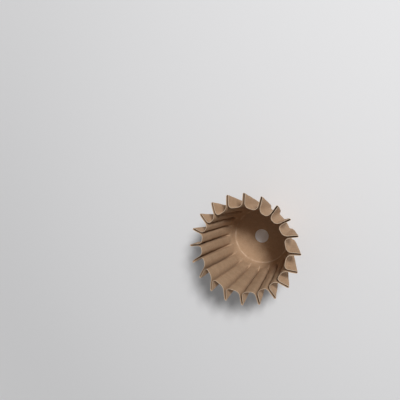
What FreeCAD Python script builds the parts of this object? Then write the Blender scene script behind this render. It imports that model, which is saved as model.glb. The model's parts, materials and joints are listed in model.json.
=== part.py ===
import FreeCAD, Part
import math
import os

# A flat-bottomed paper coffee filter, pressed from one round blank of kraft paper.
# Its base is a flat disc with a hole for a stem, and its wall stands up in flutes.
# Millimetres, +Z up. The origin is the middle of the underside of the base.

base_diameter = 50.0
blank_diameter = 185.0
stem_hole_diameter = 12.5
paper_thickness = 0.2
flute_count = 20

# Across the opening, between the lobes of the flutes that face the axis.
rim_inner_diameter = 67.0

# The edge of the base is pressed up into a narrow sloping ring.
crease_width = 0.8
crease_rise = 0.5

# The wall leaves the base at a slope and then straightens. The flare is how far out
# it goes in doing so, and the length is how soon, along the slant, it straightens.
heel_flare = 3.6
heel_length = 8.0

# Slant distance above the base edge over which the wall is plain, without flutes.
plain_heel = 7.0

# Width of the flat middle of a lobe, between its round corners.
lobe_flat_at_base = 5.2
lobe_flat_at_rim = 2.2

# Width of the slit between neighbouring lobes, low on the wall and at the rim.
slit_at_base = 1.6
slit_at_rim = 1.8

# Shares of the wall's slant length at which the flutes are worked out.
flute_levels = (0.19, 0.33, 0.56, 1.0)

# Strips that make up each round corner of a lobe and each round fold.
strips_in_corner = 3
strips_in_fold = 3

base_radius = base_diameter / 2
rim_inner_radius = rim_inner_diameter / 2
slant_length = blank_diameter / 2 - base_radius
half_pitch = math.pi / flute_count


def straight_side(half_flat, corner_centre, corner_radius, fold_centre, fold_radius):
    """Length of the flute's straight side, and the direction square to it.

    The side is the line that touches the corner's circle and the fold's circle and
    crosses between them.
    """
    across = fold_centre * math.cos(half_pitch) - corner_centre
    along = fold_centre * math.sin(half_pitch) - half_flat
    distance = math.hypot(across, along)
    lean = math.atan2(along, across) - math.asin((corner_radius + fold_radius) / distance)
    length = math.sqrt(distance ** 2 - (corner_radius + fold_radius) ** 2)
    return length, lean + math.pi / 2


def half_flute_paper(half_flat, corner_centre, corner_radius, fold_centre, fold_radius):
    """Length of paper in half a flute: half the flat, a corner, a side and half a fold."""
    side, square = straight_side(half_flat, corner_centre, corner_radius, fold_centre, fold_radius)
    corner_arc = corner_radius * (math.pi - square)
    fold_arc = fold_radius * (math.pi - square + half_pitch)
    return half_flat + corner_arc + side + fold_arc


def lobe_reach(slant):
    """Distance of the lobes from the axis, at a slant distance from the base edge."""
    straight = rim_inner_radius - base_radius - heel_flare
    flared = heel_flare * (1 - math.exp(-slant / heel_length))
    return base_radius + flared + straight * slant / slant_length


def flute_shape(slant):
    """Half the flat of a flute's lobe, and the centres and radii of its corner and fold.

    The blank is flat before it is pressed, so the paper once around the wave is as
    long as the blank's own circle there. The fold nearly fills the slit, and it goes
    out as far as uses the paper up.
    """
    share = slant / slant_length
    slit = slit_at_base + (slit_at_rim - slit_at_base) * share
    fold_radius = 0.46 * slit
    half_flat = (lobe_flat_at_base + (lobe_flat_at_rim - lobe_flat_at_base) * share) / 2
    inner_radius = lobe_reach(slant)
    room = inner_radius * math.sin(half_pitch) - half_flat * math.cos(half_pitch) - slit / 2
    corner_radius = room / (1 - math.sin(half_pitch))
    corner_centre = inner_radius + corner_radius
    paper = (base_radius + slant) * half_pitch
    near = inner_radius - fold_radius
    far = near + slant_length
    for _ in range(50):
        fold_centre = (near + far) / 2
        if half_flute_paper(half_flat, corner_centre, corner_radius, fold_centre, fold_radius) < paper:
            near = fold_centre
        else:
            far = fold_centre
    return half_flat, corner_centre, corner_radius, fold_centre, fold_radius


def flute_outline(shape):
    """One flute in plan, from the start of its lobe to the end of the next fold.

    Each point is a pair of its distance from the axis and its angle.
    """
    half_flat, corner_centre, corner_radius, fold_centre, fold_radius = shape
    square = straight_side(*shape)[1]
    corner = []
    for step in range(strips_in_corner + 1):
        around = math.pi + (square - math.pi) * step / strips_in_corner
        corner.append((corner_centre + corner_radius * math.cos(around),
                       half_flat + corner_radius * math.sin(around)))
    points = [(x, -y) for x, y in reversed(corner)] + corner
    turn = math.pi - square + half_pitch
    for step in range(strips_in_fold + 1):
        around = half_pitch - turn * (1 - 2 * step / strips_in_fold)
        points.append((fold_centre * math.cos(half_pitch) + fold_radius * math.cos(around),
                       fold_centre * math.sin(half_pitch) + fold_radius * math.sin(around)))
    return [(math.hypot(x, y), math.atan2(y, x)) for x, y in points]


def ring_point(radius, around, height):
    return FreeCAD.Vector(radius * math.cos(around), radius * math.sin(around), height)


def wall_rings():
    """The middle of the sheet in the wall, as rings of points from the crease to the rim.

    Lobes and folds each rise by as much as their slant leaves over from going out,
    so the folds, which go out further, stay lower and the rim is scalloped.
    """
    rings = []
    crease_height = paper_thickness / 2 + crease_rise
    plain_radius = lobe_reach(plain_heel)
    plain_height = crease_height + math.sqrt(plain_heel ** 2 - (plain_radius - base_radius) ** 2)
    lobe_height = fold_height = plain_height
    lobe_tip = fold_tip = plain_radius
    slant = plain_heel
    for share in flute_levels:
        shape = flute_shape(slant_length * share)
        step = slant_length * share - slant
        lobe_height += math.sqrt(step ** 2 - (lobe_reach(slant + step) - lobe_tip) ** 2)
        fold_height += math.sqrt(step ** 2 - (shape[3] + shape[4] - fold_tip) ** 2)
        lobe_tip = lobe_reach(slant + step)
        fold_tip = shape[3] + shape[4]
        slant += step
        drop = (fold_height - lobe_height) / (fold_tip - lobe_tip)
        ring = []
        for flute in range(flute_count):
            for radius, around in flute_outline(shape):
                height = lobe_height + drop * (radius - lobe_tip)
                ring.append(ring_point(radius, around + 2 * half_pitch * flute, height))
        rings.append(ring)
    crease = round_ring(rings[0], base_radius, crease_height)
    plain = round_ring(rings[0], plain_radius, plain_height)
    return [crease, plain] + rings


def round_ring(above, radius, height):
    """A round ring with one point below each point of the lowest wave."""
    return [ring_point(radius, math.atan2(point.y, point.x), height) for point in above]


def shifted_rings(rings, foot, offset):
    """The wall's rings moved square to the sheet. A positive offset goes to the inside."""
    moved = []
    for level, ring in enumerate(rings):
        below = rings[level - 1] if level > 0 else foot
        above = rings[level + 1] if level + 1 < len(rings) else ring
        points = []
        for index, point in enumerate(ring):
            sideways = ring[(index + 1) % len(ring)] - ring[index - 1]
            upwards = above[index] - below[index]
            points.append(point + upwards.cross(sideways).normalize() * offset)
        moved.append(points)
    return moved


def flat_face(*corners):
    return Part.Face(Part.makePolygon(list(corners) + [corners[0]]))


def faces_between(lower, upper):
    """Flat triangles between two rings of points, their creases leaning to the folds."""
    strips_in_flute = len(lower) // flute_count
    lobe_middle = strips_in_corner + 1 / 2
    fold_middle = 2 * strips_in_corner + 2 + strips_in_fold / 2
    faces = []
    for index in range(len(lower)):
        following = (index + 1) % len(lower)
        low, high = lower[index], upper[index]
        next_low, next_high = lower[following], upper[following]
        if lobe_middle <= index % strips_in_flute < fold_middle:
            faces.append(flat_face(low, next_low, next_high))
            faces.append(flat_face(low, next_high, high))
        else:
            faces.append(flat_face(low, next_low, high))
            faces.append(flat_face(next_low, next_high, high))
    return faces


def wall_faces(rings):
    faces = []
    for lower, upper in zip(rings, rings[1:]):
        faces += faces_between(lower, upper)
    return faces


def base_face(foot, height):
    """One side of the sheet in the base, from the wall's foot in to the stem hole."""
    edge = Part.makePolygon(foot + [foot[0]])
    hole = Part.makeCircle(stem_hole_diameter / 2, FreeCAD.Vector(0, 0, height))
    return Part.Face([edge, Part.Wire(hole)])


middle = wall_rings()
flat_radius = base_radius - crease_width
middle_foot = round_ring(middle[0], flat_radius, paper_thickness / 2)
inside_foot = round_ring(middle[0], flat_radius, paper_thickness)
outside_foot = round_ring(middle[0], flat_radius, 0.0)
inside = [inside_foot] + shifted_rings(middle, middle_foot, paper_thickness / 2)
outside = [outside_foot] + shifted_rings(middle, middle_foot, -paper_thickness / 2)

rim = faces_between(inside[-1], outside[-1])
base = [base_face(inside_foot, paper_thickness), base_face(outside_foot, 0.0)]
stem_hole = Part.makeCylinder(stem_hole_diameter / 2, paper_thickness).Faces[0]

skin = Part.makeShell(wall_faces(inside) + wall_faces(outside) + rim + base + [stem_hole])
skin.sewShape()
filter_paper = Part.makeSolid(skin)
if filter_paper.Volume < 0:
    filter_paper.reverse()

os.makedirs("parts", exist_ok=True)
filter_paper.exportStep("parts/filter_paper.step")
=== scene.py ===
import json
import math

import bpy
import numpy as np
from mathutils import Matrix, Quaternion, Vector


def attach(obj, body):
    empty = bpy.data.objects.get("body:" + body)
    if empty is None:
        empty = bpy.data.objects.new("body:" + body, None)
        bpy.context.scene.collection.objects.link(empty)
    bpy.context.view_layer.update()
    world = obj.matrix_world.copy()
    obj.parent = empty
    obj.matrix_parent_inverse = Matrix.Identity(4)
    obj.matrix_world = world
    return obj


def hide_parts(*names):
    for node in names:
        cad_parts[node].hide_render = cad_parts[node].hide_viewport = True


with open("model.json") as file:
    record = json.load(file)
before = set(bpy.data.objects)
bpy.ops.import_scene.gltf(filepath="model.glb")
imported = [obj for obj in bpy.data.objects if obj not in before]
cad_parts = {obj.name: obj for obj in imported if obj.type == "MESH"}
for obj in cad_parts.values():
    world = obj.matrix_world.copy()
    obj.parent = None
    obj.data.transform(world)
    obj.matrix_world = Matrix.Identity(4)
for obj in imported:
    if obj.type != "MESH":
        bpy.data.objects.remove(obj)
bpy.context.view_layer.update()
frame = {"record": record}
print("frame loaded")

mm = 0.001   # everything is in metres

mountsByName = {mount["name"]: mount for mount in frame["record"]["mounts"]}

# the pressed paper, angles in degrees
filterPaper = {
    "baseRadius": 25 * mm,
    "blankRadius": 92.5 * mm,     # the round blank before it is pressed
    "holeRadius": mountsByName["stem_hole"]["dims"]["r_mm"] * mm,
    "thickness": 0.2 * mm,
    "rimInnerRadius": 33.5 * mm,
    "creaseWidth": 0.8 * mm,      # sloping ring round the edge of the base
    "creaseRise": 0.5 * mm,
    "creaseSoftness": 0.1 * mm,   # how far each of its two bends reaches
    "heelFlare": 3.6 * mm,        # how far out the wall goes before it straightens
    "heelLength": 8 * mm,
    "plainHeel": 7 * mm,          # slant distances from the base edge: no flutes up to the first,
    "flutesFull": 12.8 * mm,      # and full ones from the second
    "fluteCount": 20,
    "flatAtBase": 5.2 * mm,       # flat width across a lobe
    "flatAtRim": 2.2 * mm,
    "slitAtBase": 1.6 * mm,       # gap between neighbouring lobes
    "slitAtRim": 1.8 * mm,
    "foldRadius": 0.46,           # share of the slit
    "lobeBulge": 0.8 * mm,        # how far the middle of a lobe stands proud of its flat
    "lobeHollow": 1.5,            # over 1, the bulge ends in a slight hollow before the fold
    "lean": -1.1,                 # lean of the lobes' tops round the axis
    "leanWaves": (                # turns, size, phase
        (1, 3.6, 162),
        (2, 3.1, 93),
        (3, 2.5, 49),
        (4, 1.8, 181),
    ),
    "leanGrowth": 1.2,            # power of the height by which it grows
    "rimWander": 0.35 * mm,       # unevenness of the cut rim
    "rimGrowth": 3,
    "rimWaves": (5, 12),          # how many waves, and a limit on their turns
    "lobeWander": 0.5 * mm,       # how far some lobes stand nearer the axis than others
    "lobeWaves": (6, 10),
    "wrinkle": 0.1 * mm,          # soft unevenness of the sheet
    "wrinkleOnset": 10 * mm,      # slant distance over which it grows from none
    "wrinkleWaves": (9, 26),
    "tuckDepth": 0.4 * mm,        # small raised tuck where each slit runs out above the base
    "tuckAt": 6.2 * mm,           # its slant distance from the base edge
    "tuckLength": 2 * mm,
    "tuckWidth": 0.1,             # share of half a flute
    "leastTuck": 0.3,             # size of the smallest tuck, as a share of the largest
    "seed": 7,
    "flatSteps": 2,               # grid steps in half a lobe's flat
    "cornerSteps": 8,
    "sideSteps": 2,
    "foldSteps": 5,               # and in half a fold
    "baseRows": 10,
    "wallRows": 56,
    "rowCrowding": 0.6,           # 0 spaces the wall's rows evenly, 1 crowds them near the base
    "halvings": 45,               # tries at where the folds go
}


def lobeReach(slant, p):
    # Distance of the lobes from the axis: it flares out from the base edge as
    # flare x (1 - exp(-slant / length)), and goes evenly from there to the rim.
    flared = p["heelFlare"] * (1 - np.exp(-slant / p["heelLength"]))
    even = p["rimInnerRadius"] - p["baseRadius"] - p["heelFlare"]
    return p["baseRadius"] + flared + even * slant / (p["blankRadius"] - p["baseRadius"])


def fluteShape(slant, p):
    # The wave at each slant distance: half a lobe's flat, the centre and radius of its corner
    # and of the fold, the direction square to the straight side, and the side's length. The
    # corners leave the slit between lobes. The fold's centre moves out, by halving, until half
    # a flute takes the paper that the flat blank has there, (base radius + slant) x pi / flutes.
    halfPitch = math.pi / p["fluteCount"]
    share = slant / (p["blankRadius"] - p["baseRadius"])
    inner = lobeReach(slant, p)
    slit = p["slitAtBase"] + (p["slitAtRim"] - p["slitAtBase"]) * share
    fold = slit * p["foldRadius"]
    flat = (p["flatAtBase"] + (p["flatAtRim"] - p["flatAtBase"]) * share) / 2
    room = inner * math.sin(halfPitch) - flat * math.cos(halfPitch) - slit / 2
    corner = room / (1 - math.sin(halfPitch))
    cornerCentre = inner + corner
    paper = (p["baseRadius"] + slant) * halfPitch
    near = inner - fold
    far = near + p["blankRadius"] - p["baseRadius"]
    for _ in range(p["halvings"]):
        foldCentre = (near + far) / 2
        across = foldCentre * math.cos(halfPitch) - cornerCentre
        along = foldCentre * math.sin(halfPitch) - flat
        distance = np.hypot(across, along)
        square = np.arctan2(along, across) - np.arcsin((corner + fold) / distance) + math.pi / 2
        side = np.sqrt(distance ** 2 - (corner + fold) ** 2)
        used = flat + corner * (math.pi - square) + side + fold * (math.pi - square + halfPitch)
        near = np.where(used < paper, foldCentre, near)
        far = np.where(used < paper, far, foldCentre)
    return flat, cornerCentre, corner, foldCentre, fold, square, side


def halfFlute(slant, p):
    # Half a flute in plan at each slant distance, from the lobe's middle to the fold's: half
    # the lobe's flat, an arc for its corner, a straight side, an arc about the fold's centre.
    # Gives radius, angle and the share of the paper used so far, one column per slant.
    halfPitch = math.pi / p["fluteCount"]
    flat, cornerCentre, corner, foldCentre, fold, square, side = fluteShape(slant, p)
    cornerTurn = math.pi - square
    foldTurn = cornerTurn + halfPitch

    step = np.linspace(0, 1, p["flatSteps"] + 1)[:-1, None]
    flatX = cornerCentre - corner + 0 * step
    flatY = flat * step
    flatUsed = flat * step

    step = np.linspace(0, 1, p["cornerSteps"] + 1)[:, None]
    cornerX = cornerCentre - corner * np.cos(cornerTurn * step)
    cornerY = flat + corner * np.sin(cornerTurn * step)
    cornerUsed = flat + corner * cornerTurn * step

    step = np.linspace(0, 1, p["foldSteps"] + 1)[:, None]
    around = halfPitch - foldTurn * (1 - step)
    foldX = foldCentre * math.cos(halfPitch) + fold * np.cos(around)
    foldY = foldCentre * math.sin(halfPitch) + fold * np.sin(around)
    foldUsed = flat + corner * cornerTurn + side + fold * foldTurn * step

    step = np.linspace(0, 1, p["sideSteps"] + 1)[1:-1, None]
    sideX = cornerX[-1] + (foldX[0] - cornerX[-1]) * step
    sideY = cornerY[-1] + (foldY[0] - cornerY[-1]) * step
    sideUsed = flat + corner * cornerTurn + side * step

    x = np.vstack([flatX, cornerX, sideX, foldX])
    y = np.vstack([flatY, cornerY, sideY, foldY])
    used = np.vstack([flatUsed, cornerUsed, sideUsed, foldUsed])
    return np.hypot(x, y), np.arctan2(y, x), used / used[-1]


def fluteWave(slant, p):
    # The whole wave round the axis at each slant distance: half a flute and its mirror image,
    # once for each flute. Gives the radius, the angle of each flute's lobe, the angle from
    # that lobe, and the angle at which the same paper lies in the flat blank.
    count = p["fluteCount"]
    radius, angle, used = halfFlute(slant, p)
    steps = len(radius) - 1
    place = np.arange(-steps, steps)
    pick = np.abs(place)
    mirrored = np.where(place < 0, -1.0, 1.0)[:, None]
    radius = np.tile(radius[pick], (count, 1))
    fromLobe = np.tile(mirrored * angle[pick], (count, 1))
    usedSoFar = np.tile(mirrored * used[pick], (count, 1))
    lobeAngle = 2 * math.pi / count * np.repeat(np.arange(count), 2 * steps)[:, None]
    blankAngle = lobeAngle + usedSoFar * math.pi / count
    return radius, lobeAngle, fromLobe, blankAngle


def softWaves(around, along, rng, count, highest):
    # A sum of sine waves round the axis and up the sheet, with random turns, slopes and
    # phases, divided by the root of their count: mostly between -1 and 1.
    total = np.zeros(np.broadcast(around, along).shape)
    for _ in range(count):
        turns = rng.integers(1, highest)
        rise = rng.uniform(-1, 1) * highest / 2
        total += np.sin(turns * around + rise * along + rng.uniform(0, 2 * math.pi))
    return total / math.sqrt(count)


def lobeLean(around, p):
    # Sideways lean of the lobes' tops at each angle: its mean and a few waves,
    # size x sin(turns x angle + phase).
    lean = p["lean"] + 0 * around
    for turns, size, phase in p["leanWaves"]:
        lean += size * np.sin(turns * around + math.radians(phase))
    return np.radians(lean)


def riseAlong(slant, reach):
    # Height of a line in the sheet: each step rises by what its slant leaves over from
    # going out, sqrt(step^2 - out^2), summed from the base edge.
    rise = np.sqrt(np.maximum(np.diff(slant) ** 2 - np.diff(reach) ** 2, 0))
    return np.concatenate([[0.0], np.cumsum(rise)])


def fluteGrowth(slant, p):
    # From 0 on the plain heel to 1 where the flutes are full, as 3 t^2 - 2 t^3.
    t = np.clip((slant - p["plainHeel"]) / (p["flutesFull"] - p["plainHeel"]), 0, 1)
    return t * t * (3 - 2 * t)


def fluteBulge(fromLobe, rows, grown, p):
    # How far a lobe's middle stands proud: with t the square of the share of half a flute,
    # bulge x (1 - t) x (1 - hollow x t), less towards the rim.
    t = (fromLobe * p["fluteCount"] / math.pi) ** 2
    return p["lobeBulge"] * (1 - t) * (1 - p["lobeHollow"] * t) * (1 - rows) * grown


def wallGrid(p, rng):
    # The wall as a grid, round the axis and up the slant from the base edge to the rim. Lobes
    # and folds rise along their own lines, and what is between them is as high as its place
    # between the two. Towards the top the lobes lean sideways and wander, and so does the rim.
    rows = np.linspace(0, 1, p["wallRows"] + 1)
    crowded = p["rowCrowding"] * rows ** 2 + (1 - p["rowCrowding"]) * rows
    slant = (p["blankRadius"] - p["baseRadius"]) * crowded
    radius, lobeAngle, fromLobe, blankAngle = fluteWave(np.maximum(slant, p["flutesFull"]), p)

    grown = fluteGrowth(slant, p)
    lobeTip = lobeReach(slant, p)
    radius = lobeTip + (radius - radius.min(axis=0)) * grown
    foldTip = radius.max(axis=0)
    depth = np.where(foldTip > lobeTip, foldTip - lobeTip, 1)
    toFold = (radius - lobeTip) / depth
    lobeHeight = riseAlong(slant, lobeTip)
    foldHeight = riseAlong(slant, foldTip)
    height = p["creaseRise"] + lobeHeight + (foldHeight - lobeHeight) * toFold

    angle = lobeAngle + fromLobe
    angle += lobeLean(angle, p) * (1 - toFold) * rows ** p["leanGrowth"]
    rimWaves = softWaves(blankAngle, 0, rng, *p["rimWaves"])
    height += p["rimWander"] * rimWaves * rows ** p["rimGrowth"]
    lobeWaves = softWaves(angle, 0, rng, *p["lobeWaves"])
    radius += p["lobeWander"] * lobeWaves * (1 - toFold) * rows
    radius -= fluteBulge(fromLobe, rows, grown, p)
    return radius, angle, height, fromLobe, blankAngle, p["baseRadius"] + slant


def slitTucks(fromLobe, blankAngle, slant, p, rng):
    # How tucked each place is, from 0 to 1, with a size of its own at each fold:
    # size x exp(-(share from the fold / width)^2) x exp(-((slant - place) / length)^2).
    pitch = 2 * math.pi / p["fluteCount"]
    sizes = rng.uniform(p["leastTuck"], 1, p["fluteCount"])
    fold = np.floor(blankAngle / pitch).astype(int) % p["fluteCount"]
    fromFold = 1 - np.abs(fromLobe) * 2 / pitch
    across = np.exp(-(fromFold / p["tuckWidth"]) ** 2)
    along = np.exp(-((slant - p["tuckAt"]) / p["tuckLength"]) ** 2)
    return sizes[fold] * across * along


def sheetMiddle(p):
    # The middle of the sheet as a grid: round the axis, then from the stem hole out over the
    # flat base, up its crease and up the wall to the rim. Gives also each point's place in the
    # flat blank and how tucked it is.
    rng = np.random.default_rng(p["seed"])
    radius, angle, height, fromLobe, blankAngle, wallRadii = wallGrid(p, rng)

    flatRadius = p["baseRadius"] - p["creaseWidth"]
    baseRadii = np.linspace(p["holeRadius"], flatRadius - p["creaseSoftness"], p["baseRows"])
    creaseRadii = [flatRadius + p["creaseSoftness"], p["baseRadius"] - p["creaseSoftness"]]
    baseRadii = np.concatenate([baseRadii, creaseRadii])
    baseHeights = np.maximum(baseRadii - flatRadius, 0) / p["creaseWidth"] * p["creaseRise"]

    def withBase(base, wall):
        # the base's rings put before the wall's rows
        return np.hstack([np.broadcast_to(base, (len(wall), len(baseRadii))), wall])

    radius = withBase(baseRadii, radius)
    height = withBase(baseHeights, height)
    angle = withBase(angle[:, :1], angle)
    fromLobe = withBase(fromLobe[:, :1], fromLobe)
    blankAngle = withBase(blankAngle[:, :1], blankAngle)
    blankRadius = np.concatenate([baseRadii, wallRadii])
    slant = blankRadius - p["baseRadius"]

    middle = np.stack([radius * np.cos(angle), radius * np.sin(angle), height], axis=-1)
    waves = softWaves(blankAngle, blankRadius / p["baseRadius"], rng, *p["wrinkleWaves"])
    tucked = slitTucks(fromLobe, blankAngle, slant, p, rng)
    raised = p["wrinkle"] * waves * np.clip(slant / p["wrinkleOnset"], 0, 1)
    raised -= p["tuckDepth"] * tucked
    middle += gridNormals(middle) * raised[..., None]
    blankX = blankRadius * np.cos(blankAngle)
    blankY = blankRadius * np.sin(blankAngle)
    return middle, np.stack([blankX, blankY], axis=-1), tucked


def gridNormals(points):
    # Unit normals of a grid that closes round its first axis: the cross product of the
    # steps along the two axes. They point away from the cup's inside.
    around = np.roll(points, -1, axis=0) - np.roll(points, 1, axis=0)
    outward = np.gradient(points, axis=1)
    normal = np.cross(around, outward)
    return normal / np.linalg.norm(normal, axis=-1, keepdims=True)


def closedLoopMesh(name, points, blank, tucked, sharpColumns):
    # A grid that closes both ways, as a mesh of four-cornered faces. It is smooth but for the
    # rings of edges along the named columns. The place in the flat blank is its UV map.
    across, along = points.shape[:2]
    index = np.arange(across * along).reshape(across, along)
    beside = np.roll(index, -1, axis=0)
    ahead = np.roll(index, -1, axis=1)
    opposite = np.roll(beside, -1, axis=1)
    corners = np.stack([index, beside, opposite, ahead], axis=-1).reshape(-1)
    faceCount = corners.size // 4

    mesh = bpy.data.meshes.new(name)
    mesh.vertices.add(across * along)
    mesh.vertices.foreach_set("co", points.reshape(-1).astype(np.float32))
    mesh.loops.add(corners.size)
    mesh.loops.foreach_set("vertex_index", corners.astype(np.int32))
    mesh.polygons.add(faceCount)
    mesh.polygons.foreach_set("loop_start", np.arange(0, corners.size, 4, dtype=np.int32))
    mesh.update(calc_edges=True)
    mesh.validate()
    mesh.polygons.foreach_set("use_smooth", np.ones(faceCount, dtype=bool))

    places = blank.reshape(-1, 2)[corners].reshape(-1)
    mesh.uv_layers.new(name="blank").data.foreach_set("uv", places.astype(np.float32))
    tucks = mesh.attributes.new("tucked", "FLOAT", "POINT")
    tucks.data.foreach_set("value", tucked.reshape(-1).astype(np.float32))

    ends = np.empty(2 * len(mesh.edges), dtype=np.int32)
    mesh.edges.foreach_get("vertices", ends)
    first, second = (ends % along).reshape(-1, 2).T
    sharp = mesh.attributes.new("sharp_edge", "BOOLEAN", "EDGE")
    sharp.data.foreach_set("value", (first == second) & np.isin(first, sharpColumns))
    return mesh


def makeFilterPaper(p, material):
    # The sheet's two faces are its middle moved half the thickness each way. Joined at the
    # stem hole and at the rim they are one closed loop, carried round the axis.
    middle, blank, tucked = sheetMiddle(p)
    middle[..., 2] += p["thickness"] / 2
    half = gridNormals(middle) * p["thickness"] / 2
    points = np.concatenate([middle + half, (middle - half)[:, ::-1]], axis=1)
    points[..., 2] = np.maximum(points[..., 2], 0)
    blank = np.concatenate([blank, blank[:, ::-1]], axis=1)
    tucked = np.concatenate([tucked, tucked[:, ::-1]], axis=1)
    columns = middle.shape[1]
    cutEdges = (0, columns - 1, columns, 2 * columns - 1)   # at the hole, the rim and the hole
    mesh = closedLoopMesh("filterPaper", points, blank, tucked, cutEdges)
    mesh.materials.append(material)
    piece = bpy.data.objects.new("filterPaper", mesh)
    bpy.context.collection.objects.link(piece)
    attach(piece, "root")
    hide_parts("filter_paper")
    return piece


def addNode(tree, kind, inputs, output=0, **settings):
    # A shader node with its settings. Each named or numbered input is linked to a socket or
    # set to a value. Gives one of its outputs.
    node = tree.nodes.new("ShaderNode" + kind)
    for name, value in settings.items():
        setattr(node, name, value)
    for name, value in inputs.items():
        if isinstance(value, bpy.types.NodeSocket):
            tree.links.new(value, node.inputs[name])
        else:
            node.inputs[name].default_value = value
    return node.outputs[output]


# Unbleached kraft. Each layer of its pattern is noise on the flat blank: the width of its
# cells, their length for that width, how much they curl, how finely they are broken up, and
# the noise values at which the layer is none and full.
kraft = {
    "colour": (0.52, 0.358, 0.233, 1),
    "darkFibre": (0.355, 0.222, 0.128, 1),
    "fleck": (0.24, 0.13, 0.065, 1),
    "pale": (0.73, 0.57, 0.42, 1),   # paler paper at cut edges, the crease and tucks: partly broken fibres, partly painted highlight
    "roughness": 0.85,
    "specular": 0.25,
    "bumpDistance": 0.04 * mm,
    "bumpStrength": 1,
    # the pale band by the cut rim is partly painted highlight
    "cutEdgeWidth": 0.5 * mm,
    "creaseFade": 0.4 * mm,
    # these two set the painted highlight on the crease and the tucks, partly the pale of their
    # fibres
    "creasePaleness": 0.55,
    "tuckPaleness": 1.2,
    "blotches": {"size": 4 * mm, "stretch": 1, "curl": 0, "detail": 3, "range": (0.3, 0.7)},
    "fibres": {"size": 0.4 * mm, "stretch": 7, "curl": 0.8, "detail": 2, "range": (0.42, 0.58)},
    "flecks": {"size": 0.9 * mm, "stretch": 1.7, "curl": 0, "detail": 1, "range": (0.7, 0.76)},
    # uneven spots of the painted highlight on the crease and the tucks
    "rubAndHighlightSpots": {"size": 5 * mm, "stretch": 1, "curl": 0, "detail": 1, "range": (0.35, 0.6)},
    "fibreTurns": (8, 67, 124, 161),   # the ways the fibres lie, in degrees
    "blotchStrength": 0.3,
    "fibreStrength": 0.35,
    "fleckStrength": 0.5,
}


def kraftPaper(p, sheet):
    # The pattern lies on the flat blank, so it follows the sheet through its folds. It is
    # paler by the cut edge, and in uneven patches along the crease and on the tucks: partly
    # the pale of broken fibres, partly painted highlight where these catch the light.
    material = bpy.data.materials.new("kraftPaper")
    material.use_nodes = True
    tree = material.node_tree
    shader = tree.nodes["Principled BSDF"]
    shader.inputs["Roughness"].default_value = p["roughness"]
    shader.inputs["Specular IOR Level"].default_value = p["specular"]
    blank = addNode(tree, "UVMap", {}, uv_map="blank")

    def calculate(operation, first, second):
        return addNode(tree, "Math", {0: first, 1: second}, operation=operation)

    def blend(amount, first, second):
        # a Mix node's colours are its inputs 6 and 7 and its output 2
        return addNode(tree, "Mix", {0: amount, 6: first, 7: second}, output=2, data_type="RGBA")

    def between(value, low, high):
        # 0 up to the low value, 1 from the high one, and even in between
        return addNode(tree, "MapRange", {"Value": value, "From Min": low, "From Max": high})

    def noise(layer, turn=0):
        # the cells are turned on the blank, so their length lies along the turned axis
        cell = (layer["size"], layer["size"] * layer["stretch"], layer["size"])
        lie = (0, 0, math.radians(turn))
        place = addNode(tree, "Mapping", {"Vector": blank, "Rotation": lie, "Scale": cell},
                        vector_type="TEXTURE")
        return addNode(tree, "TexNoise", {"Vector": place, "Scale": 1, "Detail": layer["detail"],
                                          "Distortion": layer["curl"]})

    blotches = between(noise(p["blotches"]), *p["blotches"]["range"])
    fibreHeight = 0
    for turn in p["fibreTurns"]:
        part = calculate("MULTIPLY", noise(p["fibres"], turn), 1 / len(p["fibreTurns"]))
        fibreHeight = calculate("ADD", fibreHeight, part)
    fibres = between(fibreHeight, *p["fibres"]["range"])
    dark = calculate("ADD", calculate("MULTIPLY", blotches, p["blotchStrength"]),
                     calculate("MULTIPLY", fibres, p["fibreStrength"]))
    flecks = between(noise(p["flecks"]), *p["flecks"]["range"])
    flecks = calculate("MULTIPLY", flecks, p["fleckStrength"])
    colour = blend(flecks, blend(dark, p["colour"], p["darkFibre"]), p["fleck"])

    fromCentre = addNode(tree, "VectorMath", {0: blank}, output="Value", operation="LENGTH")
    # painted highlight: the band by the cut rim is paler, partly for its cut fibres, partly for
    # the light the rim catches
    cutFrom = sheet["blankRadius"] - p["cutEdgeWidth"]
    cut = between(fromCentre, cutFrom, cutFrom + p["cutEdgeWidth"] / 2)
    # painted highlight: the crease ring is paler, partly for its pressed fibres, partly for the
    # light it catches
    creaseTo = sheet["baseRadius"]
    creaseFrom = creaseTo - sheet["creaseWidth"]
    creased = calculate("SUBTRACT", between(fromCentre, creaseFrom - p["creaseFade"], creaseFrom),
                        between(fromCentre, creaseTo, creaseTo + p["creaseFade"]))
    # painted highlight: the tucks at the slits' ends are paler, partly for their fibres, partly
    # for the light they catch, and the spots make the painted highlights uneven
    tucked = addNode(tree, "Attribute", {}, output="Fac", attribute_name="tucked")
    rubbedAndHighlit = calculate("MAXIMUM", calculate("MULTIPLY", creased, p["creasePaleness"]),
                       calculate("MULTIPLY", tucked, p["tuckPaleness"]))
    patches = between(noise(p["rubAndHighlightSpots"]), *p["rubAndHighlightSpots"]["range"])
    pale = calculate("MAXIMUM", cut, calculate("MULTIPLY", rubbedAndHighlit, patches))
    tree.links.new(blend(pale, colour, p["pale"]), shader.inputs["Base Color"])

    normal = addNode(tree, "Bump", {"Height": fibreHeight, "Distance": p["bumpDistance"],
                                    "Strength": p["bumpStrength"]})
    tree.links.new(normal, shader.inputs["Normal"])
    return material


paper = makeFilterPaper(filterPaper, kraftPaper(kraft, filterPaper))
print("filter paper", len(paper.data.polygons), "faces")

studio = {
    "floorSize": 4.0,
    "floorColour": (0.78, 0.78, 0.79, 1),
    "floorRoughness": 0.9,
    "fadeFrom": 0.25,                # the floor fades into the backdrop between these distances
    "fadeTo": 0.75,
    "lightColour": (1, 1, 1, 1),
    "worldStrength": 0.225,          # what lights the paper
    "backdropStrength": 0.7,         # what the camera and gloss see beyond the floor
    "keyFrom": (-86.7, 56.5, 1.5),   # azimuth and elevation in degrees, distance
    "keySize": 0.26,
    "keyPower": 17.1,
}


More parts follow.
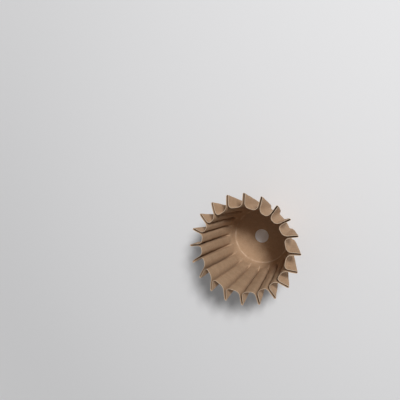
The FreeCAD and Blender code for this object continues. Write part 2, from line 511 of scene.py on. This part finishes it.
def makeFloor(p):
    # A plain square that turns clear away from its middle, so that it shows no horizon.
    half = p["floorSize"] / 2
    corners = [(-half, -half, 0), (half, -half, 0), (half, half, 0), (-half, half, 0)]
    mesh = bpy.data.meshes.new("floor")
    mesh.from_pydata(corners, [], [(0, 1, 2, 3)])
    material = bpy.data.materials.new("paleFloor")
    material.use_nodes = True
    tree = material.node_tree
    shader = tree.nodes["Principled BSDF"]
    shader.inputs["Base Color"].default_value = p["floorColour"]
    shader.inputs["Roughness"].default_value = p["floorRoughness"]
    place = addNode(tree, "TexCoord", {}, output="Object")
    fromCentre = addNode(tree, "VectorMath", {0: place}, output="Value", operation="LENGTH")
    limits = {"Value": fromCentre, "From Min": p["fadeFrom"], "From Max": p["fadeTo"]}
    fade = addNode(tree, "MapRange", limits, interpolation_type="SMOOTHSTEP")
    clear = addNode(tree, "BsdfTransparent", {})
    mixed = addNode(tree, "MixShader", {0: fade, 1: shader.outputs["BSDF"], 2: clear})
    tree.links.new(mixed, tree.nodes["Material Output"].inputs["Surface"])
    mesh.materials.append(material)
    floor = bpy.data.objects.new("floor", mesh)
    bpy.context.collection.objects.link(floor)


def makeWorld(p):
    # Soft light from all round, and a paler backdrop for the rays that see it directly.
    world = bpy.data.worlds.new("studio")
    bpy.context.scene.world = world
    world.use_nodes = True
    tree = world.node_tree
    lighting = tree.nodes["Background"]
    lighting.inputs["Color"].default_value = p["lightColour"]
    lighting.inputs["Strength"].default_value = p["worldStrength"]
    backdrop = addNode(tree, "Background", {"Color": p["lightColour"],
                                            "Strength": p["backdropStrength"]})
    rays = tree.nodes.new("ShaderNodeLightPath").outputs
    seen = rays["Is Camera Ray"]
    for kind in ("Is Glossy Ray", "Is Transmission Ray"):
        seen = addNode(tree, "Math", {0: seen, 1: rays[kind]}, operation="MAXIMUM")
    mixed = addNode(tree, "MixShader", {0: seen, 1: lighting.outputs["Background"], 2: backdrop})
    tree.links.new(mixed, tree.nodes["World Output"].inputs["Surface"])


def makeKeyLight(p):
    # A soft round lamp, pointed at the middle of the base.
    azimuth, elevation, distance = p["keyFrom"]
    a = math.radians(azimuth)
    e = math.radians(elevation)
    light = bpy.data.lights.new("key", "AREA")
    light.shape = "DISK"
    light.size = p["keySize"]
    light.energy = p["keyPower"]
    lamp = bpy.data.objects.new("key", light)
    towards = Vector((math.cos(a) * math.cos(e), math.sin(a) * math.cos(e), math.sin(e)))
    lamp.location = towards * distance
    lamp.rotation_euler = (-towards).to_track_quat("-Z", "Y").to_euler()
    bpy.context.collection.objects.link(lamp)


makeFloor(studio)
makeWorld(studio)
makeKeyLight(studio)
print("floor and lights placed")

# the photograph's viewing angle and frame
view = {
    "eye": (-11.0 * mm, -116.9 * mm, 399.4 * mm),
    "aim": (58.7 * mm, 11.1 * mm, 30.0 * mm),
    "roll": -104.95,                 # degrees about the line of sight
    "lens": 40.5,                    # these two are in millimetres
    "sensor": 36,
    "clipStart": 10 * mm,
}


def makeCamera(p):
    camera = bpy.data.objects.new("camera", bpy.data.cameras.new("camera"))
    camera.data.lens = p["lens"]
    camera.data.sensor_width = p["sensor"]
    camera.data.clip_start = p["clipStart"]
    camera.location = p["eye"]
    look = (Vector(p["aim"]) - Vector(p["eye"])).to_track_quat("-Z", "Y")
    roll = Quaternion((0, 0, 1), math.radians(p["roll"]))
    camera.rotation_euler = (look @ roll).to_euler()
    bpy.context.collection.objects.link(camera)
    bpy.context.scene.camera = camera


makeCamera(view)
bpy.context.scene.view_settings.view_transform = "Standard"
print("camera placed")
